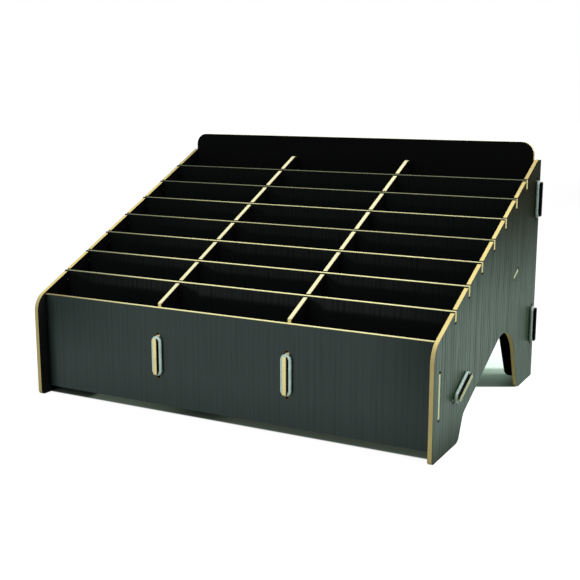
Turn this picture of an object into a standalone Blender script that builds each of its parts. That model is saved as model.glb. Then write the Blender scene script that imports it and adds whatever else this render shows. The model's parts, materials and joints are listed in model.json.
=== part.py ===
"""Slotted caddy: a rack of thin boards, with three columns and eight rows of cells on a slope.

Two side panels stand on feet and carry a front panel, a back panel and a sloping floor board.
Two column dividers run from front to back, and seven row dividers drop over them from above.
Boards pass tabs through slots in their neighbours, and a rubber ring round each long tab locks it.

Metres. X to the right, Y to the back, Z up. The origin is on the ground, under the middle.
"""

import math

import bmesh
import bpy
from mathutils import Euler
from mathutils import Matrix
from mathutils import Vector

# Boards and fits
board = 0.003
fit_gap = 0.0003
cut_overrun = 0.002

# Side panels: the slope line is the straight part of their top edge
body_width = 0.300
side_depth = 0.218
slope_angle = math.radians(24.4)
side_front_height = 0.0700
brow_radius = 0.014
toe_radius = 0.003
heel_radius = 0.001
tail_radius = 0.002

# Feet of the side panels, and the arch between them
front_foot_length = 0.0467
front_foot_lean = math.radians(63.0)
front_foot_radius = 0.007
arch_foot_radius = 0.008
rear_foot_length = 0.0387
rear_foot_lean = math.radians(68.8)
rear_foot_radius = 0.006
arch_web = 0.02115
arch_radius = 0.033

# Front panel
front_setback = 0.008
front_panel_clearance = 0.0052
front_panel_drop = 0.0008

# Back panel
back_setback = 0.007
back_panel_rise = 0.0131
back_corner_radius = 0.009
back_foot_width = 0.0144
back_foot_lean = math.radians(79.1)
back_foot_radius = 0.004
back_arch_height = 0.0487
back_arch_radius = 0.018

# Cells
cell_drop = 0.05425
first_cell_depth = 0.0225
last_cell_depth = 0.0245
row_dividers = 7
column_dividers = 2

# Column dividers
column_tail_radius = 0.004

# Row dividers
row_rise = 0.0008
ear_height = 0.0065
row_corner_radius = 0.0015
lap_share = 0.5

# Tabs, with a neck for the ring and a head that keeps it on
tab_length = 0.028
small_tab_length = 0.011
neck_inset = 0.0034
head_inset = 0.0012
head_thickness = 0.0014
tab_corner_radius = 0.0008
front_tab_share = 0.3464
back_tab_share = 0.4894
back_low_tab_rise = 0.0024
floor_ring_tab_share = 0.219
floor_small_tab_share = 0.748

# Rubber rings
ring_wire = 0.0021
ring_arc_steps = 8
ring_section_resolution = 3

# Facets of rounded corners, and the share of an edge that its two corners may use
facet_length = 0.0012
most_arc_steps = 14
least_arc_steps = 2
slot_arc_steps = 6
edge_use_share = 0.96

# Finishes
laminate_colour = (0.020, 0.024, 0.022, 1.0)
cut_edge_colour = (0.62, 0.50, 0.24, 1.0)
rubber_colour = (0.36, 0.50, 0.44, 1.0)
laminate_roughness = 0.45
cut_edge_roughness = 0.8
rubber_roughness = 0.35

# Sizes that follow from those above
slot_radius = board / 2 + fit_gap
side_inner = body_width / 2 - board
front_y = front_setback
front_back_y = front_setback + board
back_y = side_depth - back_setback - board
back_back_y = back_y + board
first_row_y = front_back_y + first_cell_depth
last_row_y = back_y - last_cell_depth - board
row_pitch = (last_row_y - first_row_y) / (row_dividers - 1)
cell_width = (2 * side_inner - column_dividers * board) / (column_dividers + 1)
neck_out = ring_wire + 2 * fit_gap
head_out = neck_out + head_thickness
half_floor_rise = board / 2 / math.cos(slope_angle)


def slope_height(y):
    """Height of the slope line at y."""
    return side_front_height + y * math.tan(slope_angle)


def floor_height(y):
    """Height of the floor board's top face at y."""
    return slope_height(y) - cell_drop


def floor_middle(y):
    """Height of the floor board's middle plane at y."""
    return floor_height(y) - half_floor_rise


def row_y(row):
    """Front face of a row divider, counted from 0."""
    return first_row_y + row * row_pitch


def column_x(column):
    """Middle of a column divider, counted from 0 at the left."""
    return -side_inner + (column + 1) * (cell_width + board) - board / 2


def between(low, high, share):
    """The place that lies a share of the way from low to high."""
    return low + (high - low) * share


side_back_height = slope_height(back_y + board / 2)
column_front_y = front_back_y + fit_gap
column_back_y = back_y - fit_gap
low_tab_z = between(floor_height(column_front_y), slope_height(column_front_y), front_tab_share)
back_low_tab_z = low_tab_z + back_low_tab_rise
high_tab_z = between(floor_height(column_back_y), slope_height(column_back_y), back_tab_share)
floor_ring_tab_y = side_depth * floor_ring_tab_share
floor_small_tab_y = side_depth * floor_small_tab_share

# Directions of the boards: how a flat outline is stood up
facing_side = Euler((math.pi / 2, 0, math.pi / 2))
facing_front = Euler((math.pi / 2, 0, 0))
facing_up_slope = Euler((slope_angle, 0, 0))


def clear_scene():
    """Remove every object of the open scene."""
    for item in list(bpy.data.objects):
        bpy.data.objects.remove(item, do_unlink=True)


def make_finish(name, colour, roughness):
    """A Principled material of one colour."""
    finish = bpy.data.materials.new(name)
    finish.use_nodes = True
    shader = finish.node_tree.nodes["Principled BSDF"]
    shader.inputs["Base Color"].default_value = colour
    shader.inputs["Roughness"].default_value = roughness
    shader.inputs["Metallic"].default_value = 0
    finish.diffuse_color = colour
    return finish


def meet(start, start_angle, other, other_angle):
    """The point where a line from start meets a line through other, both given by their angles."""
    way = Vector((math.cos(start_angle), math.sin(start_angle)))
    other_way = Vector((math.cos(other_angle), math.sin(other_angle)))
    across = way.x * other_way.y - way.y * other_way.x
    gap = Vector(other) - Vector(start)
    reach = (gap.x * other_way.y - gap.y * other_way.x) / across
    return tuple(Vector(start) + way * reach)


def corner_reaches(points, radii):
    """How far each rounded corner reaches along its edges, drawn in where two would meet."""
    count = len(points)
    wanted = []
    for index, radius in enumerate(radii):
        before = points[index - 1] - points[index]
        after = points[(index + 1) % count] - points[index]
        wanted.append(radius / math.tan(before.angle(after) / 2))
    reaches = []
    for index in range(count):
        limits = [wanted[index]]
        for other in (index - 1, (index + 1) % count):
            both = wanted[index] + wanted[other]
            edge = (points[other] - points[index]).length * edge_use_share
            if both > edge:
                limits.append(wanted[index] * edge / both)
        reaches.append(min(limits))
    return reaches


def rounded(corners):
    """Outline through corners of (u, v, radius), each turned into an arc where it has a radius."""
    points = [Vector(corner[:2]) for corner in corners]
    reaches = corner_reaches(points, [corner[2] for corner in corners])
    outline = []
    for index, (here, reach) in enumerate(zip(points, reaches)):
        if reach <= 0:
            outline.append((here.x, here.y))
            continue
        before = (points[index - 1] - here).normalized()
        after = (points[(index + 1) % len(points)] - here).normalized()
        half_angle = before.angle(after) / 2
        arc_radius = reach * math.tan(half_angle)
        centre = here + (before + after).normalized() * (arc_radius / math.sin(half_angle))
        arm = here + before * reach - centre
        last_arm = here + after * reach - centre
        turn = math.atan2(arm.x * last_arm.y - arm.y * last_arm.x, arm.dot(last_arm))
        steps = round(arc_radius * abs(turn) / facet_length)
        steps = min(max(steps, least_arc_steps), most_arc_steps)
        for step in range(steps + 1):
            spoke = Matrix.Rotation(turn * step / steps, 2) @ arm
            outline.append((centre.x + spoke.x, centre.y + spoke.y))
    return outline


def slot_outline(start, end):
    """Outline of a slot with round ends, whose end arcs are centred on start and end."""
    along = math.atan2(end[1] - start[1], end[0] - start[0])
    outline = []
    for centre, first in ((end, along - math.pi / 2), (start, along + math.pi / 2)):
        for step in range(slot_arc_steps + 1):
            angle = first + math.pi * step / slot_arc_steps
            u = centre[0] + slot_radius * math.cos(angle)
            v = centre[1] + slot_radius * math.sin(angle)
            outline.append((u, v))
    return outline


def tab_slot(u, v, angle, length):
    """Ends of a slot for a tab of this length, centred on (u, v) and running at an angle."""
    reach = Vector((math.cos(angle), math.sin(angle))) * (length / 2)
    return (u - reach.x, v - reach.y), (u + reach.x, v + reach.y)


def extrude_outline(bm, outline, low, high):
    """Add a closed prism to bm: the outline, carried from low to high along Z."""
    floor = bm.faces.new([bm.verts.new((u, v, low)) for u, v in outline])
    made = bmesh.ops.extrude_face_region(bm, geom=[floor])
    lifted = [item for item in made["geom"] if isinstance(item, bmesh.types.BMVert)]
    bmesh.ops.translate(bm, verts=lifted, vec=(0, 0, high - low))


def prism_mesh(name, outlines, half_height, finishes):
    """Mesh of one prism for each outline; upright walls take the second finish, the cut edge."""
    bm = bmesh.new()
    for outline in outlines:
        extrude_outline(bm, outline, -half_height, half_height)
    bmesh.ops.recalc_face_normals(bm, faces=bm.faces)
    for face in bm.faces:
        face.material_index = 0 if abs(face.normal.z) > abs(face.normal.xy.length) else 1
    mesh = bpy.data.meshes.new(name)
    bm.to_mesh(mesh)
    bm.free()
    for finish in finishes:
        mesh.materials.append(finish)
    return mesh


def place(name, data, location, rotation, parent):
    """Put data in the scene as an object."""
    item = bpy.data.objects.new(name, data)
    item.location = location
    item.rotation_euler = rotation
    item.parent = parent
    bpy.context.collection.objects.link(item)
    return item


def cut_slots(item, cutter_mesh):
    """Cut the slots of a cutter mesh, which lies in the board's own plane, out of a board."""
    cutter = place(item.name + "_slots", cutter_mesh, (0, 0, 0), (0, 0, 0), item)
    cutter.display_type = "WIRE"
    cutter.hide_render = True
    cut = item.modifiers.new("slots", "BOOLEAN")
    cut.operation = "DIFFERENCE"
    cut.object = cutter


def make_board(name, corners, slots, location, rotation, parent):
    """A board with rounded corners and round-ended slots, placed by its middle plane."""
    finishes = (
        make_finish(name + "_laminate", laminate_colour, laminate_roughness),
        make_finish(name + "_cut_edge", cut_edge_colour, cut_edge_roughness),
    )
    mesh = prism_mesh(name, [rounded(corners)], board / 2, finishes)
    item = place(name, mesh, location, rotation, parent)
    if slots:
        outlines = [slot_outline(start, end) for start, end in slots]
        cut_slots(item, prism_mesh(name + "_slots", outlines, board / 2 + cut_overrun, finishes))
    return item


def ring_tab():
    """Half outline of a ringed tab as (along, out, radius), from its tip back to its shoulder.

    Out is counted from the outer face of the board that the tab passes through.
    """
    base = tab_length / 2
    neck = base - neck_inset
    head = base - head_inset
    return [
        (head, head_out, tab_corner_radius),
        (head, neck_out, tab_corner_radius),
        (neck, neck_out, 0),
        (neck, 0, 0),
        (base, 0, tab_corner_radius),
        (base, -board - fit_gap, 0),
    ]


def flush_tab(length):
    """Half outline of a tab that ends level with the outer face, in the same form."""
    return [
        (length / 2, 0, 0),
        (length / 2, -board - fit_gap, 0),
    ]


def whole_tab(half, origin, along, out):
    """Corners of a tab, from its first shoulder to its last, in the plane of the board.

    The origin is the middle of the tab on the outer face, along and out are unit directions.
    """
    first = [(-a, o, radius) for a, o, radius in reversed(half)]
    corners = []
    for a, o, radius in first + half:
        u = origin[0] + along[0] * a + out[0] * o
        v = origin[1] + along[1] * a + out[1] * o
        corners.append((u, v, radius))
    return corners


def side_corners():
    """Outline of a side panel in (y, z), from the front toe round the feet and back."""
    floor_under = floor_middle(0) - half_floor_rise
    arch_line = (0, floor_under - arch_web)
    rear_foot_y = side_depth - rear_foot_length
    knee = meet((front_foot_length, 0), front_foot_lean, arch_line, slope_angle)
    peak = meet((rear_foot_y, 0), math.pi - rear_foot_lean, arch_line, slope_angle)
    return [
        (0, 0, toe_radius),
        (front_foot_length, 0, front_foot_radius),
        (*knee, arch_foot_radius),
        (*peak, arch_radius),
        (rear_foot_y, 0, rear_foot_radius),
        (side_depth, 0, heel_radius),
        (side_depth, side_back_height, heel_radius),
        (back_y + board / 2, side_back_height, tail_radius),
        (0, side_front_height, brow_radius),
    ]


def side_slots():
    """Slots of a side panel: five for tabs, and one open at the top for each row divider."""
    upright = math.pi / 2
    front_middle = front_y + board / 2
    back_middle = back_y + board / 2
    floor_ring = (floor_ring_tab_y, floor_middle(floor_ring_tab_y))
    floor_small = (floor_small_tab_y, floor_middle(floor_small_tab_y))
    slots = [
        tab_slot(front_middle, low_tab_z, upright, tab_length),
        tab_slot(back_middle, back_low_tab_z, upright, tab_length),
        tab_slot(back_middle, high_tab_z, upright, tab_length),
        tab_slot(*floor_ring, slope_angle, tab_length),
        tab_slot(*floor_small, slope_angle, small_tab_length),
    ]
    for row in range(row_dividers):
        middle = row_y(row) + board / 2
        bottom = row_top(row) - ear_height
        slots.append(((middle, bottom), (middle, slope_height(middle) + slot_radius + cut_overrun)))
    return slots


def row_top(row):
    """Height of a row divider's top edge, which stands a little above the slope line."""
    return slope_height(row_y(row)) + row_rise


def row_bottom(row):
    """Height of a row divider's bottom edge, which rests on the floor board by its back corner."""
    return floor_height(row_y(row) + board) + fit_gap


def lap_height(row):
    """Where the half laps of a row divider and a column divider meet."""
    middle = row_y(row) + board / 2
    return between(floor_height(middle), slope_height(middle), lap_share)


def make_side_panels(datum):
    """The two side panels, which are alike."""
    middle_x = side_inner + board / 2
    for name, x in (("left_side_panel", -middle_x), ("right_side_panel", middle_x)):
        make_board(name, side_corners(), side_slots(), (x, 0, 0), facing_side, datum)


def make_front_panel(datum):
    """The front panel in (x, z), with a flush tab at each end and slots for the column dividers."""
    edge = side_inner - fit_gap
    top = slope_height(front_y) - front_panel_drop
    outer = body_width / 2
    right_tab = whole_tab(flush_tab(tab_length), (outer, low_tab_z), (0, 1), (1, 0))
    left_tab = whole_tab(flush_tab(tab_length), (-outer, low_tab_z), (0, -1), (-1, 0))
    corners = [(-edge, front_panel_clearance, 0), (edge, front_panel_clearance, 0)]
    corners += right_tab + [(edge, top, 0), (-edge, top, 0)] + left_tab
    slots = []
    for column in range(column_dividers):
        slots.append(tab_slot(column_x(column), low_tab_z, math.pi / 2, tab_length))
    middle_y = front_y + board / 2
    make_board("front_panel", corners, slots, (0, middle_y, 0), facing_front, datum)


def make_back_panel(datum):
    """The back panel in (x, z), with two ringed tabs at each end and a wide arch between its feet."""
    edge = side_inner - fit_gap
    top = side_back_height + back_panel_rise
    outer = body_width / 2
    foot = edge - back_foot_width
    haunch = meet((foot, 0), math.pi - back_foot_lean, (0, back_arch_height), 0)
    corners = [
        (-foot, 0, back_foot_radius),
        (-haunch[0], back_arch_height, back_arch_radius),
        (haunch[0], back_arch_height, back_arch_radius),
        (foot, 0, back_foot_radius),
        (edge, 0, toe_radius),
    ]
    for height in (back_low_tab_z, high_tab_z):
        corners += whole_tab(ring_tab(), (outer, height), (0, 1), (1, 0))
    corners += [(edge, top, back_corner_radius), (-edge, top, back_corner_radius)]
    for height in (high_tab_z, back_low_tab_z):
        corners += whole_tab(ring_tab(), (-outer, height), (0, -1), (-1, 0))
    corners.append((-edge, 0, toe_radius))
    slots = []
    for column in range(column_dividers):
        slots.append(tab_slot(column_x(column), high_tab_z, math.pi / 2, tab_length))
    middle_y = back_y + board / 2
    make_board("back_panel", corners, slots, (0, middle_y, 0), facing_front, datum)


def make_floor_board(datum):
    """The floor board in (x, distance up the slope), with a ringed and a small tab at each end."""
    edge = side_inner - fit_gap
    outer = body_width / 2
    corner_reach = board / 2 * math.sin(slope_angle)
    front_end = (front_back_y + fit_gap + corner_reach) / math.cos(slope_angle)
    back_end = (back_y - fit_gap - corner_reach) / math.cos(slope_angle)
    ring_tab_at = floor_ring_tab_y / math.cos(slope_angle)
    small_tab_at = floor_small_tab_y / math.cos(slope_angle)
    small_tab = flush_tab(small_tab_length)
    corners = [(-edge, front_end, 0), (edge, front_end, 0)]
    corners += whole_tab(ring_tab(), (outer, ring_tab_at), (0, 1), (1, 0))
    corners += whole_tab(small_tab, (outer, small_tab_at), (0, 1), (1, 0))
    corners += [(edge, back_end, 0), (-edge, back_end, 0)]
    corners += whole_tab(small_tab, (-outer, small_tab_at), (0, -1), (-1, 0))
    corners += whole_tab(ring_tab(), (-outer, ring_tab_at), (0, -1), (-1, 0))
    make_board("floor_board", corners, [], (0, 0, floor_middle(0)), facing_up_slope, datum)


def make_column_dividers(datum):
    """The column dividers in (y, z), with ringed end tabs and a top slot for each row divider."""
    corners = [
        (column_front_y, floor_height(column_front_y) + fit_gap, 0),
        (column_back_y, floor_height(column_back_y) + fit_gap, 0),
    ]
    corners += whole_tab(ring_tab(), (back_back_y, high_tab_z), (0, 1), (1, 0))
    corners.append((column_back_y, slope_height(column_back_y), column_tail_radius))
    corners.append((column_front_y, slope_height(column_front_y), 0))
    corners += whole_tab(ring_tab(), (front_y, low_tab_z), (0, -1), (-1, 0))
    slots = []
    for row in range(row_dividers):
        middle = row_y(row) + board / 2
        top = slope_height(middle) + slot_radius + cut_overrun
        slots.append(((middle, lap_height(row)), (middle, top)))
    for column, name in enumerate(("left_column_divider", "right_column_divider")):
        make_board(name, corners, slots, (column_x(column), 0, 0), facing_side, datum)


def make_row_dividers(datum):
    """The row dividers in (x, z), each hung by an ear at either end and lapped over the columns.

    Heights are counted from the bottom edge, where the piece's own origin lies. In a lap the
    slots' round ends bear on the other board's corners, which sets how far they pass each other.
    """
    edge = side_inner - fit_gap
    outer = body_width / 2
    end_rise = math.sqrt(slot_radius**2 - (board / 2) ** 2)
    for row in range(row_dividers):
        top = row_top(row) - row_bottom(row)
        ear = top - ear_height
        corners = [
            (-edge, 0, row_corner_radius),
            (edge, 0, row_corner_radius),
            (edge, ear, 0),
            (outer, ear, 0),
            (outer, top, 0),
            (-outer, top, 0),
            (-outer, ear, 0),
            (-edge, ear, 0),
        ]
        lap_end = lap_height(row) - row_bottom(row) - 2 * end_rise + fit_gap
        slots = []
        for column in range(column_dividers):
            x = column_x(column)
            slots.append(((x, -slot_radius - cut_overrun), (x, lap_end)))
        location = (0, row_y(row) + board / 2, row_bottom(row))
        make_board(f"row_divider_{row + 1}", corners, slots, location, facing_front, datum)


def ring_path():
    """Centre line of a ring: two straight strands along Y joined by half circles.

    The strands clear the tab's faces, and the half circles clear the corners of its neck.
    """
    inner = board / 2 + fit_gap
    end_rise = math.sqrt(inner**2 - (board / 2) ** 2)
    half_strand = tab_length / 2 - neck_inset + fit_gap - end_rise
    bend = inner + ring_wire / 2
    path = []
    for centre, first in ((half_strand, 0), (-half_strand, math.pi)):
        for step in range(ring_arc_steps + 1):
            angle = first + math.pi * step / ring_arc_steps
            path.append((bend * math.cos(angle), centre + bend * math.sin(angle), 0))
    return path


def make_ring(name, location, rotation, datum):
    """A rubber ring, lying in its own XY plane with its long way along Y."""
    curve = bpy.data.curves.new(name, "CURVE")
    curve.dimensions = "3D"
    curve.bevel_depth = ring_wire / 2
    curve.bevel_resolution = ring_section_resolution
    path = ring_path()
    spline = curve.splines.new("POLY")
    spline.points.add(len(path) - 1)
    for point, place_on_path in zip(spline.points, path):
        point.co = (*place_on_path, 1)
    spline.use_cyclic_u = True
    spline.use_smooth = True
    curve.materials.append(make_finish(name + "_rubber", rubber_colour, rubber_roughness))
    place(name, curve, location, rotation, datum)


def make_rings(datum):
    """A ring on every ringed tab, against the face that the tab comes out of."""
    stand_off = fit_gap + ring_wire / 2
    back_middle = back_y + board / 2
    lean = Matrix.Rotation(slope_angle - math.pi / 2, 3, "Z")
    along_slope = (facing_side.to_matrix() @ lean).to_euler()
    for side, sign in (("left", -1), ("right", 1)):
        x = sign * (body_width / 2 + stand_off)
        floor_seat = (x, floor_ring_tab_y, floor_middle(floor_ring_tab_y))
        make_ring(side + "_floor_ring", floor_seat, along_slope, datum)
        make_ring(side + "_low_ring", (x, back_middle, back_low_tab_z), facing_side, datum)
        make_ring(side + "_high_ring", (x, back_middle, high_tab_z), facing_side, datum)
    for column, side in enumerate(("left", "right")):
        x = column_x(column)
        front_seat = (x, front_y - stand_off, low_tab_z)
        back_seat = (x, back_back_y + stand_off, high_tab_z)
        make_ring(f"front_{side}_ring", front_seat, facing_front, datum)
        make_ring(f"back_{side}_ring", back_seat, facing_front, datum)


def main():
    """Build the caddy on an empty that stands at the front edge of the side panels."""
    clear_scene()
    datum = bpy.data.objects.new("front_edge_datum", None)
    datum.location = (0, -side_depth / 2, 0)
    bpy.context.collection.objects.link(datum)
    make_side_panels(datum)
    make_front_panel(datum)
    make_back_panel(datum)
    make_floor_board(datum)
    make_column_dividers(datum)
    make_row_dividers(datum)
    make_rings(datum)


main()
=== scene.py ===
"""Looks of the slotted caddy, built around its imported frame.

Every board is a fresh surface: an edge profile carried along the board's own outlines and closed by
two flat faces. Every lock ring is a round section carried along a stadium. Metres, +Z up.
"""

import json
import math

import bpy
import numpy as np
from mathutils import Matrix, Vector
from mathutils.geometry import tessellate_polygon


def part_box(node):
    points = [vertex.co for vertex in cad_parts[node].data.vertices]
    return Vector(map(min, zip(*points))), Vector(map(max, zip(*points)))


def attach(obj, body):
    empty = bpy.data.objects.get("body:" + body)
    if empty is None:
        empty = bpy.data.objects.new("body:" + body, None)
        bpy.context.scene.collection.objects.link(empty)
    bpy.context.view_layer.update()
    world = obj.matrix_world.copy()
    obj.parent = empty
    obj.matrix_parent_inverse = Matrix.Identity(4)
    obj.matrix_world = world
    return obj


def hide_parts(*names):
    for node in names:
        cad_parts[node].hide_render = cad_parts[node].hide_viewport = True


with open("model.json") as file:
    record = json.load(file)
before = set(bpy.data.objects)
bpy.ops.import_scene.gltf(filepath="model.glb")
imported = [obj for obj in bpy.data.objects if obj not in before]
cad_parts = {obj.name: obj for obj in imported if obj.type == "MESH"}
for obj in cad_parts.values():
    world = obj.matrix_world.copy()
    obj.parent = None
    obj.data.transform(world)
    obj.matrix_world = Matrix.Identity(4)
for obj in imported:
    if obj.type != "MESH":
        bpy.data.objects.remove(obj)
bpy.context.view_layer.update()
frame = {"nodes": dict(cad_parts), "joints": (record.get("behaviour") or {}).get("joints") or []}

# Boards: a thin laminate skin on both sides of a fibreboard core
board = 0.003
skin = 0.00018
arris = 0.0001
worn_arris = 0.00025
arris_steps = 3
core_recess = 0.00003
slot_reach = 0.0045
slot_end_reach = 0.006
sharp_angle = math.radians(35)

# A board's finishes in order: the face along its normal, the face against it, and its cut edge
# where it faces up, in slots, at the two far ends, and elsewhere
along_face, against_face, raised_edge, slot_wall, far_end, other_edge = range(6)

# Limits for reading a board's outlines off its solid
same_place = 1e-6
facing_limit = 0.999
least_area = 1e-18
least_reach = 1e-5
nearly_parallel = 1e-12
least_rise = 0.3

# Tabs and the rubber rings that lock them; two of the rings lie along the floor's slope
fit_gap = 0.0003
tab_length = 0.028
neck_inset = 0.0034
ring_wire = 0.0021
ring_bend_steps = 24
ring_section_steps = 20
slope_angle = math.radians(24.4)

# Painted light, front to back: how bright the row dividers' top edges look, and their faces' sheen
row_painted_light = (1.0, 1.0, 0.93, 0.55, 0.76, 0.22, 0.12)
row_painted_sheens = (0.16, 0.095, 0.065, 0.045, 0.035, 0.02, 0.012)

# A board carries its grain along one axis, where a small share draws the noise out into streaks
upright_grain = (1.2, 1.2, 0.06)
front_grain = (1.1, 1.1, 0.05)
side_grain = (1.1, 1.1, 0.05)
floor_grain = (1.2, 0.05, 1.2)

# Grain lines: radians per metre across the grain, how far they wander, and their weight
grain_waves = ((1590.0, 11.0, 1.0), (1200.0, 9.0, 0.8), (560.0, 9.0, 0.15))

# Finishes, as linear colours
laminate_black = (0.0031, 0.0031, 0.0032, 1)
# The side panels' base: the black laminate with a warm reflection painted in
olive_painted_reflection = (0.0138, 0.0118, 0.0051, 1)
# The left panel's lip before the front panel: a paler base, painting that panel's reflection
lip_painted_reflection = (0.0120, 0.0135, 0.0130, 1)
# Green-grey tints in the laminates' base colour where they shine: painted reflection
side_painted_sheen_tint = (0.028, 0.055, 0.028, 1)
front_painted_sheen_tint = (0.028, 0.053, 0.044, 1)
edge_pale = (0.86, 0.82, 0.50, 1)
edge_cross = (0.95, 0.91, 0.47, 1)
# Tab ends: the edge colour made paler, painted light
edge_end_painted_light = (0.98, 0.88, 0.42, 1)
edge_side_end = (0.84, 0.95, 0.58, 1)
edge_floor_end = (0.64, 0.73, 0.44, 1)
edge_tan = (0.76, 0.63, 0.25, 1)
# The scorch colour, which painted shade on cut edges also darkens them to
edge_scorch_and_shade = (0.16, 0.11, 0.05, 1)
# The grey that the rows' top edges darken to, painted shade
edge_painted_shade = (0.09, 0.10, 0.065, 1)
# Slot walls: scorched and darkened with painted shade
slot_scorch_and_shade = (0.07, 0.05, 0.022, 1)
rubber_grey = (0.60, 0.80, 0.72, 1)
dust_pale = (0.5, 0.5, 0.46, 1)

# Laminate: its mean streak, how patchy and dusty it is, its roughness, gloss and relief, and where
# the reflection painted on its lip ends, which is as far back as the front panel is
mean_streak = 0.6
patchiness = 0.05
dust_share = 0.5
laminate_roughness = 0.6
streak_polish = 0.12
laminate_specular = 0.008
satin = 0.3
row_gloss = 0.15
laminate_relief = 0.3
laminate_relief_depth = 0.0004
lip_end = (-0.1, -0.098)

# Painted shade on a wide board's sheen: along X to its left, to its right and in its left corner,
# and along Z at its foot, in its upper part and at its top
left_shade = (-0.155, -0.05)
right_shade = (0.095, 0.155)
corner_shade = (-0.1465, -0.1425)
foot_shade = (0.0, 0.035)
high_shade = (0.015, 0.075)
top_shade = (0.075, 0.09)

# Where the sheen painted on a side panel changes, along Y at its toe and rear and along Z at its
# foot, where its grain lines do, and how much the height that counts rises to the rear
toe_fade = (-0.03, 0.03)
rear_fade = (-0.1, 0.11)
foot_fade = (-0.01, 0.03)
rear_lines = (-0.04, 0.06)
foot_lines = (0.015, 0.055)
height_tilt = 0.04

# Cut edges: the cutter's lines per metre, roughness, gloss, relief, and the height over which an
# edge that is scorched and has painted shade turns pale
cutter_lines = 2600.0
edge_roughness = 0.65
fibre_roughness = 0.15
edge_specular = 0.2
edge_relief = 0.25
edge_relief_depth = 0.0002
scorch_and_shade_fade = 0.004

# Painted shade on cut edges: a cross board's two ends, with the share of its painted light that
# is left there, and a side panel's front and tallest part
left_end = (-0.15, -0.05)
left_painted_light = 0.15
right_end = (0.1, 0.15)
right_painted_light = 0.75
front_end = (-0.108, -0.1)
tall_end = (0.134, 0.158)

# Rubber: how dark its clouds are, its roughness and its relief
cloud_tone = 0.8
rubber_roughness = 0.22
cloud_roughness = 0.2
rubber_relief = 0.08
rubber_relief_depth = 0.0002

# The pale surroundings look faintly green where a surface mirrors them
mirrored_tint = (0.76, 1.0, 0.95, 1)

# The floor and the shaded part of it
floor_reach = 6.0
floor_roughness = 0.9
shade_half_width = 0.1475
shade_front = -0.098
shade_rear = 0.110
shade_narrowing = 0.27
shade_trail = 0.03
shade_softness = 0.0025

# Bands of painted shade and light under the caddy, from where each starts to where it is full:
# from front to back, from left to right, and three along the view, with how much of its glow the
# strip shows
front_band = (-0.068, -0.05)
right_band = (0.13, 0.15)
near_band = (-0.009, -0.006)
strip_band = (0.0, 0.05)
strip_shares = (0.09, 0.24)
far_band = (0.038, 0.048)

# How far around the caddy its painted shade reaches, and how white the floor is there
open_band = (0.2, 1.1)
open_shares = (0.86, 1.0)

# Painted shade under the front panel: the dark left end, the fall to its right, and the dark spot
# and its reach
gap_end = (-0.116, -0.110)
gap_left = (-0.085, -0.045)
gap_spot = -0.021
gap_spot_reach = (0.004, 0.032)

# Floor colours, painted shade under the caddy: in the open, under the front cells, under the rest
floor_open = (0.3, 0.3, 0.3, 1)
floor_front_painted_shade = (0.05, 0.065, 0.055, 1)
floor_under_painted_shade = (0.30, 0.40, 0.33, 1)

# The floor's glow, which paints light and shade: in the shaded strip, under the front panel, behind
# the strip, and its extremes
strip_glow = (0.70, 1.0, 0.78, 1)
gap_glow = (0.052, 0.068, 0.051, 1)
far_glow = (0.62, 0.74, 0.66, 1)
black = (0, 0, 0, 1)
white = (1, 1, 1, 1)

# Light: the world's, and each softbox's place, aim, size and watts
world_light = 0.25
softboxes = {
    "overhead_softbox": ((0.50, 0.22, 0.90), (0, 0, 0.1), 0.7, 9.3),
    "front_softbox": ((-0.20, -1.30, 0.80), (0, 0, 0.05), 1.0, 12.5),
}

# Camera
camera_place = (0.33943, -0.63690, 0.21708)
camera_pitch = math.radians(-11.3935)
camera_yaw = math.radians(28.2285)
camera_lens = 62.29
camera_sensor = 36


def put(tree, kind, values=None, **settings):
    """Add a node to a tree; values fill its inputs, and a value that is a socket is linked."""
    node = tree.nodes.new(kind)
    for key, value in settings.items():
        setattr(node, key, value)
    for key, value in (values or {}).items():
        if isinstance(value, bpy.types.NodeSocket):
            tree.links.new(value, node.inputs[key])
        else:
            node.inputs[key].default_value = value
    return node


def maths(tree, operation, *values):
    """Output of a Math node over up to three values or sockets."""
    return put(tree, "ShaderNodeMath", dict(enumerate(values)), operation=operation).outputs[0]


def product(tree, first, *others):
    """Product of values or sockets, from left to right."""
    for other in others:
        first = maths(tree, "MULTIPLY", first, other)
    return first


def vectors(tree, operation, *values):
    """Outputs of a Vector Math node over its vectors or sockets."""
    values = dict(enumerate(values))
    return put(tree, "ShaderNodeVectorMath", values, operation=operation).outputs


def axes(tree, place):
    """The X, Y and Z of a place."""
    return put(tree, "ShaderNodeSeparateXYZ", {0: place}).outputs


def ramped(tree, value, low, high, to_low=0.0, to_high=1.0):
    """Value eased from to_low at low to to_high at high."""
    limits = {
        "Value": value,
        "From Min": low,
        "From Max": high,
        "To Min": to_low,
        "To Max": to_high,
    }
    return put(tree, "ShaderNodeMapRange", limits, interpolation_type="SMOOTHSTEP").outputs[0]


def noise(tree, place, scale, detail, roughness=0.5):
    """Noise between 0 and 1 at a place."""
    values = {"Vector": place, "Scale": scale, "Detail": detail, "Roughness": roughness}
    return put(tree, "ShaderNodeTexNoise", values).outputs["Fac"]


def mixed(tree, share, first, second):
    """Colour between first and second by share."""
    node = put(tree, "ShaderNodeMix", {"Factor": share}, data_type="RGBA")
    for index, colour in ((6, first), (7, second)):
        if isinstance(colour, bpy.types.NodeSocket):
            tree.links.new(colour, node.inputs[index])
        else:
            node.inputs[index].default_value = colour
    return node.outputs[2]


def emboss(tree, shader, height, strength, depth):
    """Give a shader the relief of a height."""
    values = {"Height": height, "Strength": strength, "Distance": depth}
    normal = put(tree, "ShaderNodeBump", values).outputs["Normal"]
    tree.links.new(normal, shader.inputs["Normal"])


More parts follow.
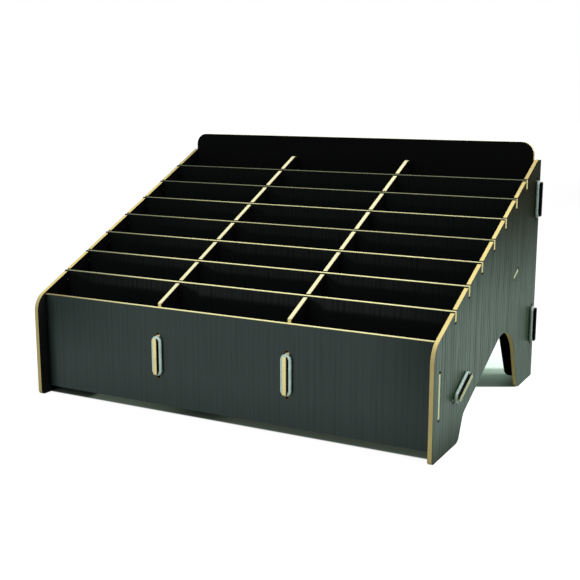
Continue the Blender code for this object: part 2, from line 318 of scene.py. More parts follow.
def new_group(name, inputs, outputs):
    """An empty node group with named sockets, as (tree, what it is given, what it makes)."""
    tree = bpy.data.node_groups.new(name, "ShaderNodeTree")
    for title, kind, default in inputs:
        socket = tree.interface.new_socket(title, in_out="INPUT", socket_type=kind)
        if default is not None:
            socket.default_value = default
    for title, kind in outputs:
        tree.interface.new_socket(title, in_out="OUTPUT", socket_type=kind)
    given = tree.nodes.new("NodeGroupInput").outputs
    return tree, given, tree.nodes.new("NodeGroupOutput").inputs


def grain_group():
    """Embossed wood grain: wandering lines over drawn-out noise.

    The lines are a sum of cosines, each of the distance across the grain plus wide noise. Another
    noise makes them deeper and shallower along their way. Patch is the wide noise alone.
    """
    tree, given, made = new_group(
        "long_grain",
        [
            ("Position", "NodeSocketVector", None),
            ("Stretch", "NodeSocketVector", upright_grain),
        ],
        [("Streak", "NodeSocketFloat"), ("Patch", "NodeSocketFloat")],
    )
    drawn = vectors(tree, "MULTIPLY", given["Position"], given["Stretch"])[0]
    across = vectors(tree, "DOT_PRODUCT", drawn, (1, 1, 0))["Value"]
    fine = noise(tree, drawn, scale=420.0, detail=3.0, roughness=0.62)
    shortened = vectors(tree, "MULTIPLY", drawn, (1, 1, 5))[0]
    broken = noise(tree, shortened, scale=200.0, detail=3.0)
    wide = noise(tree, drawn, scale=45.0, detail=2.0)
    ripple = 0.0
    for turn, wander, weight in grain_waves:
        angle = maths(tree, "MULTIPLY_ADD", wide, wander, product(tree, across, turn))
        ripple = maths(tree, "MULTIPLY_ADD", maths(tree, "COSINE", angle), weight, ripple)
    groove = ramped(tree, ripple, -0.4, 1.5)
    depth = ramped(tree, broken, 0.34, 0.66, 0.5, 1.0)
    line = maths(tree, "SUBTRACT", 1.0, product(tree, groove, depth))
    fibre = ramped(tree, fine, 0.34, 0.66, 0.0, 0.35)
    tree.links.new(maths(tree, "MULTIPLY_ADD", line, 0.65, fibre), made["Streak"])
    tree.links.new(ramped(tree, wide, 0.3, 0.7), made["Patch"])
    return tree


def fade_group():
    """Shares of the sheen and its tint painted on a side panel, and how clear its grain lines are.

    The share eases to a least one above a height that drops a little to the rear, to the foot's
    one at the bottom of the toe, and down to the rear: a painted reflection, bright low down and
    dark high up. Lines fade at the bottom and to the rear.
    """
    tree, given, made = new_group(
        "painted_sheen_fade",
        [
            ("Position", "NodeSocketVector", None),
            ("Full below", "NodeSocketFloat", 0.06),
            ("Least above", "NodeSocketFloat", 0.15),
            ("Least", "NodeSocketFloat", 0.0),
            ("Foot", "NodeSocketFloat", 0.2),
        ],
        [("Share", "NodeSocketFloat"), ("Lines", "NodeSocketFloat")],
    )
    spot = axes(tree, given["Position"])
    height = maths(tree, "MULTIPLY_ADD", spot["Y"], height_tilt, spot["Z"])
    fade = ramped(tree, height, given["Full below"], given["Least above"], 1.0, given["Least"])
    toe = ramped(tree, spot["Y"], *toe_fade, given["Foot"], 1.0)
    foot = ramped(tree, spot["Z"], *foot_fade, toe, 1.0)
    rear = ramped(tree, spot["Y"], *rear_fade, 1.0, 0.7)
    tree.links.new(product(tree, fade, foot, rear), made["Share"])
    low = ramped(tree, spot["Z"], *foot_lines, 0.45, 1.0)
    back = ramped(tree, spot["Y"], *rear_lines, 1.0, 0.75)
    tree.links.new(product(tree, low, back), made["Lines"])
    return tree


def cut_group():
    """Cut fibreboard: a fibrous pale core with the cutter's lines, browner at its two sides.

    Painted light and scorch is how much of the core's colour shows over the dark one: the scorch
    colour, and for the rows the grey of painted shade. Height is for the relief.
    """
    tree, given, made = new_group(
        "cut_fibre",
        [
            ("Edge", "NodeSocketVector", None),
            ("Position", "NodeSocketVector", None),
            ("Core", "NodeSocketColor", edge_pale),
            ("Scorch and shade", "NodeSocketColor", edge_scorch_and_shade),
            ("Painted light and scorch", "NodeSocketFloat", 1.0),
        ],
        [("Colour", "NodeSocketColor"), ("Height", "NodeSocketFloat")],
    )
    edge = axes(tree, given["Edge"])
    away = maths(tree, "ABSOLUTE", edge["Y"])
    along = product(tree, edge["X"], cutter_lines)
    along = put(tree, "ShaderNodeCombineXYZ", {"X": along}).outputs[0]
    lines = noise(tree, along, scale=1.0, detail=2.0, roughness=0.6)
    fibre = noise(tree, given["Position"], scale=1500.0, detail=3.0, roughness=0.65)
    cloud = noise(tree, given["Position"], scale=85.0, detail=2.0)
    burnt = ramped(tree, maths(tree, "MULTIPLY_ADD", cloud, 0.3, away), 0.88, 1.2, 0.0, 0.7)
    speck = ramped(tree, fibre, 0.28, 0.5, 0.2, 0.0)
    soot = ramped(tree, cloud, 0.3, 0.6, 0.1, 0.0)
    stripe = ramped(tree, lines, 0.3, 0.5, 0.1, 0.0)
    dark = maths(tree, "ADD", maths(tree, "MAXIMUM", burnt, speck), soot)
    dark = maths(tree, "ADD", dark, stripe)
    pale = product(tree, maths(tree, "SUBTRACT", 1.0, dark), given["Painted light and scorch"])
    tree.links.new(mixed(tree, pale, given["Scorch and shade"], given["Core"]), made["Colour"])
    tree.links.new(maths(tree, "MULTIPLY_ADD", lines, 0.7, fibre), made["Height"])
    return tree


def dust_group():
    """Sparse pale specks of dust: the middles of a few random cells."""
    tree, given, made = new_group(
        "dust_specks",
        [("Position", "NodeSocketVector", None)],
        [("Share", "NodeSocketFloat")],
    )
    values = {"Vector": given["Position"], "Scale": 42.0, "Randomness": 1.0}
    cells = put(tree, "ShaderNodeTexVoronoi", values).outputs
    picked = maths(tree, "GREATER_THAN", axes(tree, cells["Color"])["X"], 0.93)
    spot = ramped(tree, cells["Distance"], 0.008, 0.02, 1.0, 0.0)
    tree.links.new(product(tree, spot, picked), made["Share"])
    return tree


grain = grain_group()
painted_sheen_fade = fade_group()
cut_fibre = cut_group()
dust = dust_group()


def new_material(name):
    """A material, its tree and its Principled shader."""
    material = bpy.data.materials.new(name)
    material.use_nodes = True
    tree = material.node_tree
    return material, tree, tree.nodes["Principled BSDF"]


def placed(tree, group, values):
    """Outputs of a shared group placed in a material's tree with its own values."""
    return put(tree, "ShaderNodeGroup", values, node_tree=group).outputs


def object_place(tree):
    """Object coordinates."""
    return put(tree, "ShaderNodeTexCoord").outputs["Object"]


def laminate(
    name,
    sheen=0.0,
    painted_sheen=0.0,
    contrast=0.3,
    gloss=satin,
    stretch=upright_grain,
    fades=None,
    lip=None,
):
    """Black embossed laminate: streaks change its colour, sheen, roughness and relief.

    Fades are the values of the fade group for the sheen and for its painted tint, and make it a
    side panel's outer face. The painted sheen is a green-grey tint in the base colour, a painted
    reflection of the pale surroundings. The lip is a paler base colour in front of the front panel,
    a painted reflection of that panel.
    """
    material, tree, shader = new_material(name)
    place = object_place(tree)
    streaks = placed(tree, grain, {"Position": place, "Stretch": stretch})
    streak = streaks["Streak"]
    if fades:
        # A side panel's base and tint carry its painted warm and green reflection
        base, painted_sheen_tint = olive_painted_reflection, side_painted_sheen_tint
        panel = [placed(tree, painted_sheen_fade, dict(values, Position=place)) for values in fades]
        sheen_share, painted_sheen_share = (outputs["Share"] for outputs in panel)
        swing = product(tree, panel[0]["Lines"], contrast)
    else:
        base, painted_sheen_tint = laminate_black, front_painted_sheen_tint
        sheen_share, painted_sheen_share = ends_shade(tree, place)
        swing = contrast
    # The lip's paler base is a painted reflection of the front panel
    if lip:
        base = mixed(tree, ramped(tree, axes(tree, place)["Y"], *lip_end, 1.0, 0.0), base, lip)
    share = maths(tree, "SUBTRACT", streak, mean_streak)
    share = maths(tree, "MULTIPLY_ADD", share, swing, 1.0)
    patchy = patchiness * contrast
    patchy = maths(tree, "MULTIPLY_ADD", streaks["Patch"], patchy, 1 - patchy / 2)
    share = product(tree, share, patchy)
    # Painted reflection: a green-grey base tint and the coat weight, shaped by painted fades and
    # shade
    colour = mixed(tree, product(tree, share, painted_sheen_share, painted_sheen), base, painted_sheen_tint)
    dusty = product(tree, placed(tree, dust, {"Position": place})["Share"], dust_share)
    tree.links.new(mixed(tree, dusty, colour, dust_pale), shader.inputs["Base Color"])
    tree.links.new(product(tree, share, sheen_share, sheen), shader.inputs["Coat Weight"])
    rough = maths(tree, "MULTIPLY_ADD", streak, -streak_polish, laminate_roughness)
    tree.links.new(rough, shader.inputs["Roughness"])
    emboss(tree, shader, streak, laminate_relief * contrast, laminate_relief_depth)
    shader.inputs["Specular IOR Level"].default_value = laminate_specular
    shader.inputs["Coat Roughness"].default_value = gloss
    return material


def ends_shade(tree, place):
    """How much of a wide board's sheen and of its painted tint show, with painted shade.

    The sheen falls to the upper left, to the right and to the foot, as painted shade. Both fall to
    none in the left corner, beside the left panel, a painted dark reflection of that panel.
    """
    spot = axes(tree, place)
    high = ramped(tree, spot["Z"], *high_shade)
    high = maths(tree, "ADD", high, ramped(tree, spot["Z"], *top_shade, 0.0, 0.5))
    left = product(tree, ramped(tree, spot["X"], *left_shade, 0.62, 0.0), high)
    right = ramped(tree, spot["X"], *right_shade, 0.0, 0.6)
    right = product(tree, right, maths(tree, "MULTIPLY_ADD", high, 0.6, 0.4))
    bright = maths(tree, "SUBTRACT", 1.0, maths(tree, "MAXIMUM", left, right))
    foot = ramped(tree, spot["Z"], *foot_shade, 0.8, 1.0)
    corner = ramped(tree, spot["X"], *corner_shade)
    return product(tree, bright, foot, corner), corner


def cut_edge(name, core, painted_light=None, ends_painted_light=None, scorch_and_shade_below=None, dark=edge_scorch_and_shade):
    """Cut fibreboard edge, matt, with its fibres and cutter lines in colour and relief.

    Painted light makes it a cross board's edge, with painted shade towards its two ends. The ends'
    painted light puts painted shade on a side panel's edge at the very front and at its tallest.
    Below a given height the edge is scorched and painted shaded, that is, has its dark colour.
    """
    material, tree, shader = new_material(name)
    place = object_place(tree)
    spot = axes(tree, place)
    share = 1.0
    if painted_light:
        left = ramped(tree, spot["X"], *left_end, left_painted_light * painted_light, painted_light)
        share = product(tree, left, ramped(tree, spot["X"], *right_end, 1.0, right_painted_light))
    if ends_painted_light:
        front = ramped(tree, spot["Y"], *front_end, ends_painted_light, 1.0)
        share = product(tree, front, ramped(tree, spot["Z"], *tall_end, 1.0, ends_painted_light))
    # Below the given height the edge is scorched and painted shaded
    if scorch_and_shade_below:
        raised = ramped(tree, spot["Z"], scorch_and_shade_below, scorch_and_shade_below + scorch_and_shade_fade)
        share = product(tree, share, raised)
    edge = put(tree, "ShaderNodeUVMap", uv_map="edge").outputs["UV"]
    values = {"Edge": edge, "Position": place, "Core": core, "Scorch and shade": dark, "Painted light and scorch": share}
    fibre = placed(tree, cut_fibre, values)
    tree.links.new(fibre["Colour"], shader.inputs["Base Color"])
    emboss(tree, shader, fibre["Height"], edge_relief, edge_relief_depth)
    rough = maths(tree, "MULTIPLY_ADD", fibre["Height"], fibre_roughness, edge_roughness)
    tree.links.new(rough, shader.inputs["Roughness"])
    shader.inputs["Specular IOR Level"].default_value = edge_specular
    return material


def rubber(name, painted_light):
    """Pale satin rubber with faint clouding, darkened by painted shade where its painted light is
    below one.
    """
    material, tree, shader = new_material(name)
    cloud = noise(tree, object_place(tree), scale=260.0, detail=3.0)
    darker = tuple(channel * cloud_tone * painted_light for channel in rubber_grey[:3]) + (1,)
    paler = tuple(channel * painted_light for channel in rubber_grey[:3]) + (1,)
    colour = mixed(tree, ramped(tree, cloud, 0.3, 0.7), darker, paler)
    tree.links.new(colour, shader.inputs["Base Color"])
    rough = maths(tree, "MULTIPLY_ADD", cloud, cloud_roughness, rubber_roughness)
    tree.links.new(rough, shader.inputs["Roughness"])
    emboss(tree, shader, cloud, rubber_relief, rubber_relief_depth)
    return material


def node_arrays(node):
    """Merged corners and triangles of a CAD node's mesh."""
    mesh = frame["nodes"][node].data
    corners = np.empty(len(mesh.vertices) * 3)
    mesh.vertices.foreach_get("co", corners)
    corners = corners.reshape(-1, 3)
    mesh.calc_loop_triangles()
    triangles = np.empty(len(mesh.loop_triangles) * 3, int)
    mesh.loop_triangles.foreach_get("vertices", triangles)
    keys = np.round(corners / same_place).astype(int)
    _, first, merged = np.unique(keys, axis=0, return_index=True, return_inverse=True)
    return corners[first], merged.reshape(-1)[triangles].reshape(-1, 3)


def board_plane(corners, triangles):
    """A board's normal, two directions in its plane, and how far each triangle faces with it."""
    edge_a = corners[triangles[:, 1]] - corners[triangles[:, 0]]
    edge_b = corners[triangles[:, 2]] - corners[triangles[:, 0]]
    areas = np.cross(edge_a, edge_b)
    sizes = np.maximum(np.linalg.norm(areas, axis=1), least_area)
    spread = (areas.T / sizes) @ areas
    normal = np.linalg.eigh(spread)[1][:, -1]
    normal = normal * np.sign(normal[np.argmax(np.abs(normal))])
    along = np.cross((0.0, 0.0, 1.0), normal)
    if np.linalg.norm(along) < 0.5:
        along = np.array((1.0, 0.0, 0.0))
    along /= np.linalg.norm(along)
    return normal, along, np.cross(normal, along), areas @ normal / sizes


def outlines_of(node):
    """Closed outlines of a board's front face, wound with the board on their left.

    Returned as rows of points in the plane, with the plane's middle point and directions.
    """
    corners, triangles = node_arrays(node)
    normal, along, up, facing = board_plane(corners, triangles)
    front = triangles[facing > facing_limit]
    edges = front[:, [0, 1, 1, 2, 2, 0]].reshape(-1, 2)
    size = len(corners)
    forward = edges[:, 0] * size + edges[:, 1]
    backward = edges[:, 1] * size + edges[:, 0]
    rim = edges[~np.isin(forward, backward)]
    after = dict(rim.tolist())
    loops = []
    while after:
        start = next(iter(after))
        loop = [start]
        here = after.pop(start)
        while here != start:
            loop.append(here)
            here = after.pop(here)
        loops.append(np.array(loop))
    flat = np.stack((corners @ along, corners @ up), axis=1)
    depths = corners @ normal
    middle = normal * (depths.max() + depths.min()) / 2
    return [flat[loop] for loop in loops], middle, along, up, normal


def inward_mitre(outline):
    """Direction and reach, per unit of inset, in which each corner of an outline moves inwards."""
    ahead = np.roll(outline, -1, axis=0) - outline
    ahead /= np.linalg.norm(ahead, axis=1)[:, None]
    left = np.stack((-ahead[:, 1], ahead[:, 0]), axis=1)
    left_before = np.roll(left, 1, axis=0)
    return (left + left_before) / (1 + (left * left_before).sum(axis=1))[:, None]


def edge_profile(worn):
    """Inset and height over a board's edge, and which of its strips are always the core.

    From the front face a quarter round, inset a(1 - sin t) and height h - a(1 - cos t) for t from
    0 to 90 degrees, leads down the skin to a small step, and the core follows; the back mirrors it.
    Where the edge is worn the round is larger, and bares the core on the sides that show.
    """
    half = board / 2
    turn = np.linspace(0, math.pi / 2, arris_steps + 1)
    radius = worn_arris if worn else arris
    depth = skin + radius - arris
    inset = np.append(radius * (1 - np.sin(turn)), (0, core_recess))
    height = np.append(half - radius * (1 - np.cos(turn)), (half - depth, half - depth))
    strips = 2 * len(inset) - 1
    core = np.abs(np.arange(strips) - (strips - 1) / 2) <= 1
    return np.append(inset, inset[::-1]), np.append(height, -height[::-1]), core


def area_of(outline):
    """Signed area inside an outline."""
    following = np.roll(outline, -1, axis=0)
    return (outline[:, 0] * following[:, 1] - outline[:, 1] * following[:, 0]).sum() / 2


def slot_sides(outline):
    """Which sides of an outline are walls of a slot: all of a hole's, and those that face a wall.

    A side faces a wall where a ray from its middle, away from the board, meets another side within
    reach. A short run between two such sides is the slot's end.
    """
    if area_of(outline) < 0:
        return np.ones(len(outline), bool)
    ahead = np.roll(outline, -1, axis=0) - outline
    lengths = np.linalg.norm(ahead, axis=1)
    away = np.stack((ahead[:, 1], -ahead[:, 0]), axis=1) / lengths[:, None]
    middle = outline + ahead / 2
    gap = outline[None] - middle[:, None]
    across = away[:, None, 0] * ahead[None, :, 1] - away[:, None, 1] * ahead[None, :, 0]
    across = np.where(np.abs(across) < nearly_parallel, np.inf, across)
    reach = (gap[..., 0] * ahead[None, :, 1] - gap[..., 1] * ahead[None, :, 0]) / across
    place = (gap[..., 0] * away[:, None, 1] - gap[..., 1] * away[:, None, 0]) / across
    met = (reach > least_reach) & (reach < slot_reach) & (place >= 0) & (place <= 1)
    walls = met.any(axis=1)
    if not walls.any():
        return walls
    count = len(walls)
    found = walls.copy()
    for start in np.flatnonzero(walls & ~np.roll(walls, -1)):
        run = []
        step = (start + 1) % count
        while not walls[step]:
            run.append(step)
            step = (step + 1) % count
        if lengths[run].sum() < slot_end_reach:
            found[run] = True
    return found


def end_sides(outline):
    """Which sides of an outline lie at the board's two far ends."""
    across = outline[:, 0]
    low = across < across.min() + same_place
    high = across > across.max() - same_place
    return (low & np.roll(low, -1)) | (high & np.roll(high, -1))


def raised_sides(outline):
    """Which sides of an outline face upwards in the board's plane."""
    ahead = np.roll(outline, -1, axis=0) - outline
    return -ahead[:, 0] > least_rise * np.linalg.norm(ahead, axis=1)


def tightened(outline):
    """An upright slot's outline with its round ends cut flat beside its tab, to let no light past.

    A slot that doesn't stand upright is less tall than that, and stays as it is.
    """
    across, height = outline.T
    middle = (height.max() + height.min()) / 2
    reach = tab_length / 2 + fit_gap
    return np.stack((across, np.clip(height, middle - reach, middle + reach)), axis=1)


def strip_finishes(outline, core, worn):
    """Finish of each strip of the edge profile along each side of an outline."""
    skins = np.where(np.arange(len(core)) < len(core) / 2, along_face, against_face)
    edges = np.where(raised_sides(outline), raised_edge, other_edge)
    edges = np.where(end_sides(outline), far_end, edges)
    edges = np.where(slot_sides(outline), slot_wall, edges)
    bared = core[:, None] | (worn & (edges != other_edge))[None]
    return np.where(bared, edges[None], skins[:, None])


def strip_coordinates(outline, height):
    """Edge coordinates of the corners of each strip: metres along it, and -1 to 1 across it."""
    lengths = np.linalg.norm(np.roll(outline, -1, axis=0) - outline, axis=1)
    travel = np.concatenate(((0,), np.cumsum(lengths)))
    shape = (len(height) - 1, len(outline))
    near = np.broadcast_to(travel[:-1], shape)
    far = np.broadcast_to(travel[1:], shape)
    top = np.broadcast_to(height[:-1, None] / height[0], shape)
    bottom = np.broadcast_to(height[1:, None] / height[0], shape)
    corners = ((near, top), (near, bottom), (far, bottom), (far, top))
    corners = [np.stack(corner, axis=-1) for corner in corners]
    return np.stack(corners, axis=2).reshape(-1, 2)


def flat_triangles(rims):
    """Triangles between a board's rims, all wound anticlockwise."""
    cap = np.array(tessellate_polygon([[Vector((u, v, 0)) for u, v in rim] for rim in rims]))
    corner = np.concatenate(rims)[cap]
    first = corner[:, 1] - corner[:, 0]
    second = corner[:, 2] - corner[:, 0]
    turned = first[:, 0] * second[:, 1] < first[:, 1] * second[:, 0]
    cap[turned] = cap[turned][:, ::-1]
    return cap


def board_piece(name, node, body, finishes, worn=True, tight_slots=False):
    """A board: the edge profile carried along each outline, closed by two flat faces.

    A point of the edge is outline point + inset * inward mitre in the plane, and height along
    the board's normal. Finishes are in the order that is numbered at the top.
    """
    outlines, middle, along, up, normal = outlines_of(node)
    outlines.sort(key=area_of, reverse=True)
    if tight_slots:
        outlines[1:] = [tightened(outline) for outline in outlines[1:]]
    inset, height, core = edge_profile(worn)
    points, quads, finish, coordinates = [], [], [], []
    front_rims, back_rims, flat_rims = [], [], []
    start = 0
    for outline in outlines:
        flat = outline[None] + inset[:, None, None] * inward_mitre(outline)[None]
        spot = flat[..., :1] * along + flat[..., 1:] * up + height[:, None, None] * normal
        points.append((spot + middle).reshape(-1, 3))
        grid = start + np.arange(flat[..., 0].size).reshape(flat.shape[:2])
        onward = np.roll(grid, -1, axis=1)
        quad = np.stack((grid[:-1], grid[1:], onward[1:], onward[:-1]), axis=-1)
        quads.append(quad.reshape(-1, 4))
        finish.append(strip_finishes(outline, core, worn).reshape(-1))
        coordinates.append(strip_coordinates(outline, height))
        front_rims.append(grid[0])
        back_rims.append(grid[-1])
        flat_rims.append(flat[0])
        start += grid.size
    cap = flat_triangles(flat_rims)
    front_cap = np.concatenate(front_rims)[cap]
    back_cap = np.concatenate(back_rims)[cap][:, ::-1]
    cap_places = np.concatenate(flat_rims)[cap]
    finish.append(np.repeat((along_face, against_face), len(cap)))
    coordinates += [cap_places.reshape(-1, 2), cap_places[:, ::-1].reshape(-1, 2)]
    walls = np.concatenate(quads)
    mesh = bpy.data.meshes.new(name)
    faces = walls.tolist() + front_cap.tolist() + back_cap.tolist()
    mesh.from_pydata(np.concatenate(points).tolist(), [], faces)
    mesh.set_sharp_from_angle(angle=sharp_angle)
    smooth = np.arange(len(mesh.polygons)) < len(walls)
    mesh.polygons.foreach_set("use_smooth", smooth)
    mesh.polygons.foreach_set("material_index", np.concatenate(finish).astype(np.int32))
    edge_map = mesh.uv_layers.new(name="edge")
    edge_map.uv.foreach_set("vector", np.concatenate(coordinates).astype(np.float32).reshape(-1))
    for each in finishes:
        mesh.materials.append(each)
    finished(name, mesh, body, node)


def finished(name, mesh, body, node):
    """Put a mesh in the scene as the piece that stands for a CAD node."""
    mesh.update()
    piece = bpy.data.objects.new(name, mesh)
    bpy.context.scene.collection.objects.link(piece)
    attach(piece, body)
    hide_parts(node)


def ring_piece(name, node, side, long, finish):
    """A lock ring: a round section carried along a stadium.

    The centre line is two straight strands along the long direction, joined by half circles that
    turn from the side direction. A point is centre line + wire radius * (cos a * outwards + sin a
    * axis).
    """
    low, high = (np.array(corner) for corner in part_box(node))
    side = np.array(side)
    long = np.array(long)
    axis = np.cross(side, long)
    clear = board / 2 + fit_gap
    bend = clear + ring_wire / 2
    strand = tab_length / 2 - neck_inset + fit_gap - math.sqrt(clear**2 - (board / 2) ** 2)
    turn = np.linspace(0, math.pi, ring_bend_steps + 1)
    angle = np.concatenate((turn, turn + math.pi))
    shift = np.where(np.arange(len(angle)) <= ring_bend_steps, strand, -strand)
    outward = np.cos(angle)[:, None] * side + np.sin(angle)[:, None] * long
    centre = (low + high) / 2 + shift[:, None] * long + bend * outward
    section = np.linspace(0, 2 * math.pi, ring_section_steps, endpoint=False)
    across = np.cos(section)[None, :, None] * outward[:, None]
    spokes = across + np.sin(section)[None, :, None] * axis
    points = centre[:, None] + ring_wire / 2 * spokes
    grid = np.arange(points.shape[0] * points.shape[1]).reshape(points.shape[:2])
    beside = np.roll(grid, -1, axis=0)
    quad = (grid, beside, np.roll(beside, -1, axis=1), np.roll(grid, -1, axis=1))
    faces = np.stack(quad, axis=-1).reshape(-1, 4)
    mesh = bpy.data.meshes.new(name)
    mesh.from_pydata(points.reshape(-1, 3).tolist(), [], faces.tolist())
    mesh.polygons.foreach_set("use_smooth", np.ones(len(mesh.polygons), bool))
    mesh.materials.append(finish)
    finished(name, mesh, "rack", node)


def make_boards():
    """Every board with its own laminates and cut edges."""
    # Fades of the sheen and its tint painted on the side panels: painted reflection
    side_sheen = {"Full below": 0.06, "Least above": 0.15, "Least": 0.0, "Foot": 0.2}
    side_painted_sheen = {"Full below": 0.06, "Least above": 0.155, "Least": 0.0, "Foot": 0.2}
    side_fades = (side_sheen, side_painted_sheen)
    side_face = laminate(
        "side_laminate", sheen=0.5, painted_sheen=1.0, contrast=1.25, stretch=side_grain, fades=side_fades
    )
    front_face = laminate(
        "front_laminate", sheen=0.67, painted_sheen=0.3, contrast=0.17, stretch=front_grain
    )
    floor_face = laminate("floor_laminate", sheen=0.12, painted_sheen=0.02, stretch=floor_grain)
    # The laminate without sheen: painted shade on faces inside the cells and on the back tab ends
    shaded_face = laminate("painted_shade_laminate")
    inner_face = laminate("left_inner_laminate", lip=lip_painted_reflection)
    tan_edge = cut_edge("side_cut_edge", edge_tan, ends_painted_light=0.58)
    pale_edge = cut_edge("column_cut_edge", edge_pale)
    front_edge = cut_edge("front_cut_edge", edge_cross, painted_light=0.92, scorch_and_shade_below=0.06)
    back_edge = cut_edge("back_cut_edge", edge_pale, scorch_and_shade_below=0.165)
    end_edge = cut_edge("end_cut_edge", edge_end_painted_light)
    side_end_edge = cut_edge("side_end_cut_edge", edge_side_end)
    floor_end = cut_edge("floor_end_cut_edge", edge_floor_end)
    slot_edge = cut_edge("slot_cut_edge", slot_scorch_and_shade)
    tan_edges = (tan_edge, slot_edge, tan_edge, tan_edge)
    pale_edges = (pale_edge, slot_edge, end_edge, tan_edge)
    finishes = {
        "left_side_panel": (inner_face, side_face, *tan_edges),
        "right_side_panel": (side_face, shaded_face, *tan_edges),
        "front_panel": (shaded_face, front_face, front_edge, slot_edge, side_end_edge, tan_edge),
        "back_panel": (front_face, shaded_face, back_edge, slot_edge, shaded_face, tan_edge),
        "floor_board": (floor_face, floor_face, pale_edge, slot_edge, floor_end, floor_end),
        "left_column_divider": (shaded_face, shaded_face, *pale_edges),
        "right_column_divider": (shaded_face, shaded_face, *pale_edges),
    }
    for node, board_finishes in finishes.items():
        worn = node not in ("left_side_panel", "right_side_panel", "back_panel")
        tight = node in ("left_side_panel", "back_panel")
        board_piece(node + "_board", node, "rack", board_finishes, worn, tight)
    for joint in frame["joints"]:
        row = joint["child"].removeprefix("row_")
        place = int(row) - 1
        # Each row gets its own painted sheen, and painted shade on its top edge
        face = laminate(
            f"row_{row}_laminate", row_painted_sheens[place], painted_sheen=0.02, contrast=0.9, gloss=row_gloss
        )
        edge = cut_edge(f"row_{row}_cut_edge", edge_cross, row_painted_light[place], dark=edge_painted_shade)
        node = f"row_divider_{row}"
        finishes = (face, face, edge, slot_edge, end_edge, tan_edge)
        board_piece(f"row_{row}_board", node, joint["child"], finishes)


def make_rings():
    """Every lock ring."""
    finish = rubber("lock_ring_rubber", painted_light=1.0)
    # The side rings: a darker copy of the rubber, painted shade
    side_shaded_finish = rubber("side_ring_painted_shade_rubber", painted_light=0.62)
    right = (1.0, 0.0, 0.0)
    back = (0.0, 1.0, 0.0)
    up = (0.0, 0.0, 1.0)
    uphill = (0.0, math.cos(slope_angle), math.sin(slope_angle))
    downhill = (0.0, math.sin(slope_angle), -math.cos(slope_angle))
    for side in ("left", "right"):
        ring_piece(f"{side}_floor_rubber", f"{side}_floor_ring", downhill, uphill, side_shaded_finish)
        for height in ("low", "high"):
            name = f"{side}_{height}"
            ring_piece(f"{name}_rubber", f"{name}_ring", back, up, side_shaded_finish)
        for end in ("front", "back"):
            ring_piece(f"{end}_{side}_rubber", f"{end}_{side}_ring", right, up, finish)


def seen_directly(tree):
    """One for camera, glossy and transmission rays, and none for the light that is scattered."""
    path = put(tree, "ShaderNodeLightPath").outputs
    either = maths(tree, "MAXIMUM", path["Is Camera Ray"], path["Is Glossy Ray"])
    return maths(tree, "MAXIMUM", either, path["Is Transmission Ray"])


def mirrored(tree):
    """White, or the tint of the surroundings for glossy rays."""
    path = put(tree, "ShaderNodeLightPath").outputs
    return mixed(tree, path["Is Glossy Ray"], white, mirrored_tint)


def gap_light(tree, across):
    """How light the floor under the front panel is painted, from left to right.

    It is painted dark at the left end, and round a spot a little left of the middle.
    """
    end = ramped(tree, across, *gap_end, 0.08, 1.0)
    left = ramped(tree, across, *gap_left, 1.0, 0.66)
    aside = maths(tree, "ABSOLUTE", maths(tree, "SUBTRACT", across, gap_spot))
    return product(tree, end, left, ramped(tree, aside, *gap_spot_reach, 0.3, 1.0))


def footprint_distance(tree, spot):
    """Distance of a floor place from the shaded footprint, which narrows behind the caddy.

    Behind the caddy, a length counts for a small share of itself.
    """
    before = maths(tree, "SUBTRACT", shade_front, spot["Y"])
    beyond = maths(tree, "MAXIMUM", maths(tree, "SUBTRACT", spot["Y"], shade_rear), 0.0)
    width = maths(tree, "MULTIPLY_ADD", beyond, -shade_narrowing, shade_half_width)
    beside = maths(tree, "SUBTRACT", maths(tree, "ABSOLUTE", spot["X"]), width)
    values = {"X": beside, "Y": before, "Z": product(tree, beyond, shade_trail)}
    steps = put(tree, "ShaderNodeCombineXYZ", values).outputs[0]
    return vectors(tree, "LENGTH", vectors(tree, "MAXIMUM", steps, (0, 0, 0))[0])["Value"]


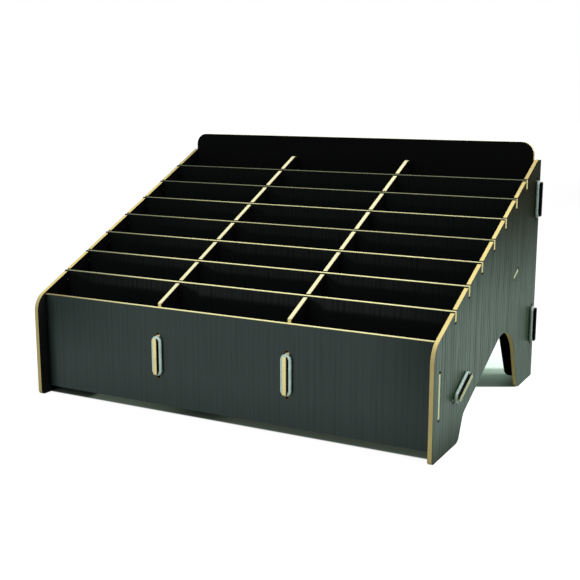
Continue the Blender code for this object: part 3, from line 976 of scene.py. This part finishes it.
def make_floor():
    """A wide pale floor that shows white where nothing shades it.

    It glows by its own colour where it is seen directly. Under the caddy, glow and colour paint
    shade and light: a shaded strip across the view, white in front of the strip, and pale behind
    it. In front of all three is the floor under the front panel, darker by painted shade.
    """
    mesh = bpy.data.meshes.new("studio_floor")
    low, high = -floor_reach, floor_reach
    corners = [(low, low, 0), (high, low, 0), (high, high, 0), (low, high, 0)]
    mesh.from_pydata(corners, [], [(0, 1, 2, 3)])
    floor = bpy.data.objects.new("studio_floor", mesh)
    bpy.context.scene.collection.objects.link(floor)
    material, tree, shader = new_material("studio_floor_white")
    shader.inputs["Roughness"].default_value = floor_roughness
    shader.inputs["Specular IOR Level"].default_value = 0.0
    place = object_place(tree)
    spot = axes(tree, place)
    away = footprint_distance(tree, spot)
    outside = ramped(tree, away, 0.0, shade_softness)
    behind = ramped(tree, spot["Y"], *front_band)
    bare = mixed(tree, outside, mixed(tree, behind, floor_front_painted_shade, floor_under_painted_shade), floor_open)
    tree.links.new(bare, shader.inputs["Base Color"])

    view_line = (-math.sin(camera_yaw), math.cos(camera_yaw), 0)
    deep = vectors(tree, "DOT_PRODUCT", place, view_line)["Value"]
    near = product(tree, ramped(tree, deep, *near_band, 1.0, 0.0), behind)
    right = ramped(tree, spot["X"], *right_band, 1.0, 0.1)
    strip = product(tree, ramped(tree, deep, *strip_band, *strip_shares), right, behind)
    gap = product(tree, gap_light(tree, spot["X"]), ramped(tree, behind, 0, 1, 1, 0))
    far = ramped(tree, deep, *far_band)
    under = mixed(tree, strip, black, strip_glow)
    under = mixed(tree, gap, under, gap_glow)
    under = mixed(tree, far, under, far_glow)
    under = mixed(tree, near, under, white)
    over = mixed(tree, ramped(tree, away, *open_band, *open_shares), black, white)
    glow = vectors(tree, "MULTIPLY", mixed(tree, outside, under, over), mirrored(tree))[0]
    tree.links.new(glow, shader.inputs["Emission Color"])
    tree.links.new(seen_directly(tree), shader.inputs["Emission Strength"])
    mesh.materials.append(material)


def make_world():
    """White behind everything, and an even grey that lights the object."""
    world = bpy.data.worlds.new("studio_world")
    world.use_nodes = True
    tree = world.node_tree
    surface = tree.nodes["Background"]
    share = maths(tree, "MULTIPLY_ADD", seen_directly(tree), 1 - world_light, world_light)
    tree.links.new(mirrored(tree), surface.inputs["Color"])
    tree.links.new(share, surface.inputs["Strength"])
    bpy.context.scene.world = world


def add_softbox(name, place, target, size, watts):
    """A square soft light aimed at a target."""
    light = bpy.data.lights.new(name, "AREA")
    light.shape = "SQUARE"
    light.size = size
    light.energy = watts
    lamp = bpy.data.objects.new(name, light)
    lamp.location = place
    aim = Vector(target) - Vector(place)
    lamp.rotation_euler = aim.to_track_quat("-Z", "Y").to_euler()
    lamp.visible_camera = False
    bpy.context.scene.collection.objects.link(lamp)


def make_camera():
    """The camera at the photograph's angle."""
    data = bpy.data.cameras.new("view_camera")
    data.lens = camera_lens
    data.sensor_width = camera_sensor
    camera = bpy.data.objects.new("view_camera", data)
    camera.location = camera_place
    camera.rotation_euler = (math.pi / 2 + camera_pitch, 0, camera_yaw)
    bpy.context.scene.collection.objects.link(camera)
    bpy.context.scene.camera = camera


make_camera()
make_world()
make_floor()
for softbox, setting in softboxes.items():
    add_softbox(softbox, *setting)
make_boards()
make_rings()
bpy.context.scene.view_settings.view_transform = "Standard"
